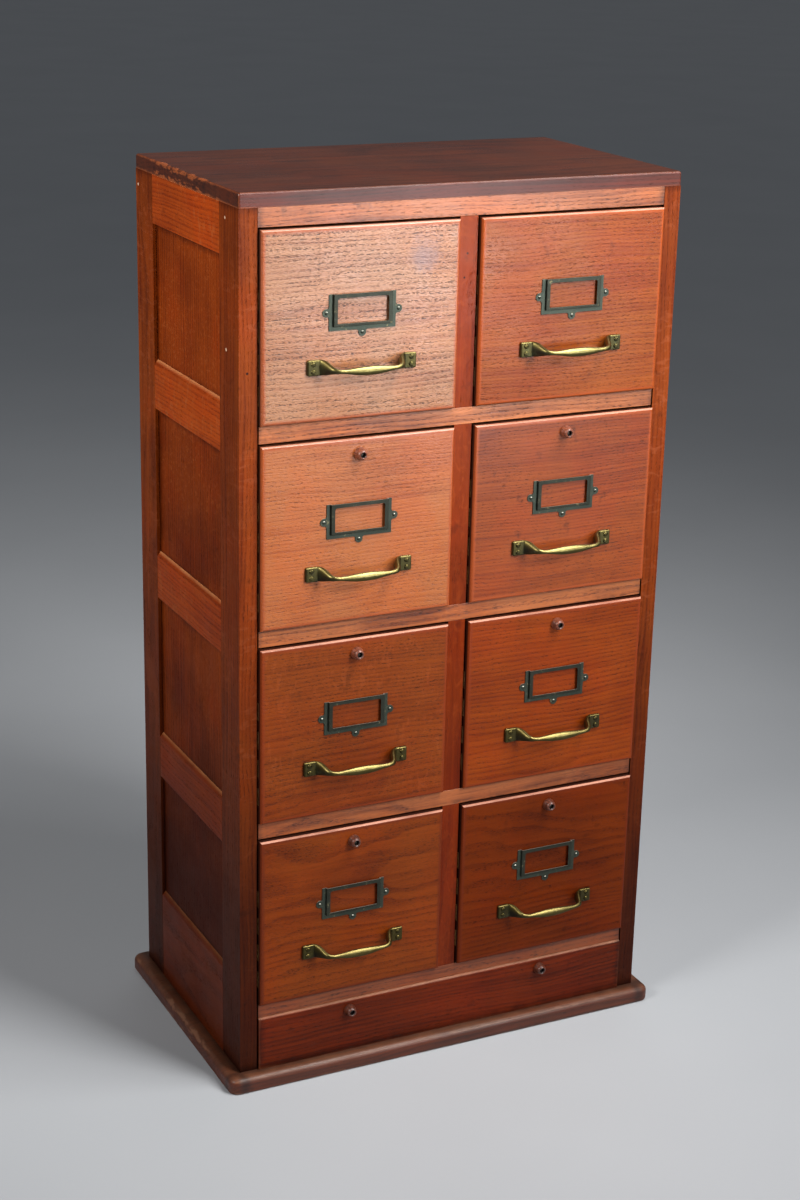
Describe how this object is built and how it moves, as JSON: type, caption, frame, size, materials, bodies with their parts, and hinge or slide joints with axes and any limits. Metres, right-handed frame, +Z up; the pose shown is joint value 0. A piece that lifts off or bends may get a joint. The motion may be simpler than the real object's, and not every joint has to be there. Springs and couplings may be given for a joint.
{
  "type": "card catalog cabinet",
  "caption": "Free-standing oak card catalog cabinet with two columns of sliding drawers in a panelled carcass, each with a bar pull, a label frame and a sliding follower.",
  "frame": {"origin": "centre of the base board's underside, on the floor", "axes": "+X to the right seen from the front, the drawer fronts face -Y, +Z up"},
  "size_m": [0.564, 0.3587, 1.0335],
  "materials": {
    "oak_front": "reddish brown stain, satin varnish",
    "oak_frame": "reddish brown stain, satin varnish",
    "oak_rail": "reddish brown stain, satin varnish",
    "oak_kick": "reddish brown stain, satin varnish",
    "oak_side": "reddish brown stain, satin varnish",
    "oak_panel": "reddish brown stain, satin varnish",
    "oak_top": "dark brown satin varnish",
    "oak_base": "reddish brown stain, worn edges",
    "oak_back": "thin brown stain, matte",
    "bare_wood": "unfinished, aged",
    "pull_brass": "aged, worn bright on the grip",
    "card_metal": "dark patina with worn edges",
    "button_wood": "dark purplish brown, satin"
  },
  "bodies": {
    "cabinet": {"top_board": "oak_top", "base_board": "oak_base", "side_stiles": "oak_frame", "side_rails": "oak_side", "side_panels": "oak_panel", "front_rails": "oak_rail", "center_muntins": "oak_frame", "kick_board": "oak_kick", "kick_buttons": "button_wood", "center_partition": "bare_wood", "drawer_runners": "bare_wood", "drawer_stops": "bare_wood", "back_boards": "oak_back"},
    "drawer_r1c1": {"r1c1_front": "oak_front", "r1c1_box": "bare_wood", "r1c1_pull": "pull_brass", "r1c1_card_frame": "card_metal"},
    "follower_r1c1": {"r1c1_follower": "bare_wood"},
    "drawer_r1c2": {"r1c2_front": "oak_front", "r1c2_box": "bare_wood", "r1c2_pull": "pull_brass", "r1c2_card_frame": "card_metal"},
    "follower_r1c2": {"r1c2_follower": "bare_wood"},
    "drawer_r2c1": {"r2c1_front": "oak_front", "r2c1_box": "bare_wood", "r2c1_pull": "pull_brass", "r2c1_card_frame": "card_metal", "r2c1_button": "button_wood"},
    "follower_r2c1": {"r2c1_follower": "bare_wood"},
    "drawer_r2c2": {"r2c2_front": "oak_front", "r2c2_box": "bare_wood", "r2c2_pull": "pull_brass", "r2c2_card_frame": "card_metal", "r2c2_button": "button_wood"},
    "follower_r2c2": {"r2c2_follower": "bare_wood"},
    "drawer_r3c1": {"r3c1_front": "oak_front", "r3c1_box": "bare_wood", "r3c1_pull": "pull_brass", "r3c1_card_frame": "card_metal", "r3c1_button": "button_wood"},
    "follower_r3c1": {"r3c1_follower": "bare_wood"},
    "drawer_r3c2": {"r3c2_front": "oak_front", "r3c2_box": "bare_wood", "r3c2_pull": "pull_brass", "r3c2_card_frame": "card_metal", "r3c2_button": "button_wood"},
    "follower_r3c2": {"r3c2_follower": "bare_wood"},
    "drawer_r4c1": {"r4c1_front": "oak_front", "r4c1_box": "bare_wood", "r4c1_pull": "pull_brass", "r4c1_card_frame": "card_metal", "r4c1_button": "button_wood"},
    "follower_r4c1": {"r4c1_follower": "bare_wood"},
    "drawer_r4c2": {"r4c2_front": "oak_front", "r4c2_box": "bare_wood", "r4c2_pull": "pull_brass", "r4c2_card_frame": "card_metal", "r4c2_button": "button_wood"},
    "follower_r4c2": {"r4c2_follower": "bare_wood"}
  },
  "joints": [
    {"name": "r1c1_slide", "type": "slide", "parent": "cabinet", "child": "drawer_r1c1", "axis": [0, -1, 0], "range_m": [0, 0.25]},
    {"name": "r1c1_follower_slide", "type": "slide", "parent": "drawer_r1c1", "child": "follower_r1c1", "axis": [0, -1, 0], "range_m": [0, 0.19]},
    {"name": "r1c2_slide", "type": "slide", "parent": "cabinet", "child": "drawer_r1c2", "axis": [0, -1, 0], "range_m": [0, 0.25]},
    {"name": "r1c2_follower_slide", "type": "slide", "parent": "drawer_r1c2", "child": "follower_r1c2", "axis": [0, -1, 0], "range_m": [0, 0.19]},
    {"name": "r2c1_slide", "type": "slide", "parent": "cabinet", "child": "drawer_r2c1", "axis": [0, -1, 0], "range_m": [0, 0.25]},
    {"name": "r2c1_follower_slide", "type": "slide", "parent": "drawer_r2c1", "child": "follower_r2c1", "axis": [0, -1, 0], "range_m": [0, 0.19]},
    {"name": "r2c2_slide", "type": "slide", "parent": "cabinet", "child": "drawer_r2c2", "axis": [0, -1, 0], "range_m": [0, 0.25]},
    {"name": "r2c2_follower_slide", "type": "slide", "parent": "drawer_r2c2", "child": "follower_r2c2", "axis": [0, -1, 0], "range_m": [0, 0.19]},
    {"name": "r3c1_slide", "type": "slide", "parent": "cabinet", "child": "drawer_r3c1", "axis": [0, -1, 0], "range_m": [0, 0.25]},
    {"name": "r3c1_follower_slide", "type": "slide", "parent": "drawer_r3c1", "child": "follower_r3c1", "axis": [0, -1, 0], "range_m": [0, 0.19]},
    {"name": "r3c2_slide", "type": "slide", "parent": "cabinet", "child": "drawer_r3c2", "axis": [0, -1, 0], "range_m": [0, 0.25]},
    {"name": "r3c2_follower_slide", "type": "slide", "parent": "drawer_r3c2", "child": "follower_r3c2", "axis": [0, -1, 0], "range_m": [0, 0.19]},
    {"name": "r4c1_slide", "type": "slide", "parent": "cabinet", "child": "drawer_r4c1", "axis": [0, -1, 0], "range_m": [0, 0.25]},
    {"name": "r4c1_follower_slide", "type": "slide", "parent": "drawer_r4c1", "child": "follower_r4c1", "axis": [0, -1, 0], "range_m": [0, 0.19]},
    {"name": "r4c2_slide", "type": "slide", "parent": "cabinet", "child": "drawer_r4c2", "axis": [0, -1, 0], "range_m": [0, 0.25]},
    {"name": "r4c2_follower_slide", "type": "slide", "parent": "drawer_r4c2", "child": "follower_r4c2", "axis": [0, -1, 0], "range_m": [0, 0.19]}
  ]
}
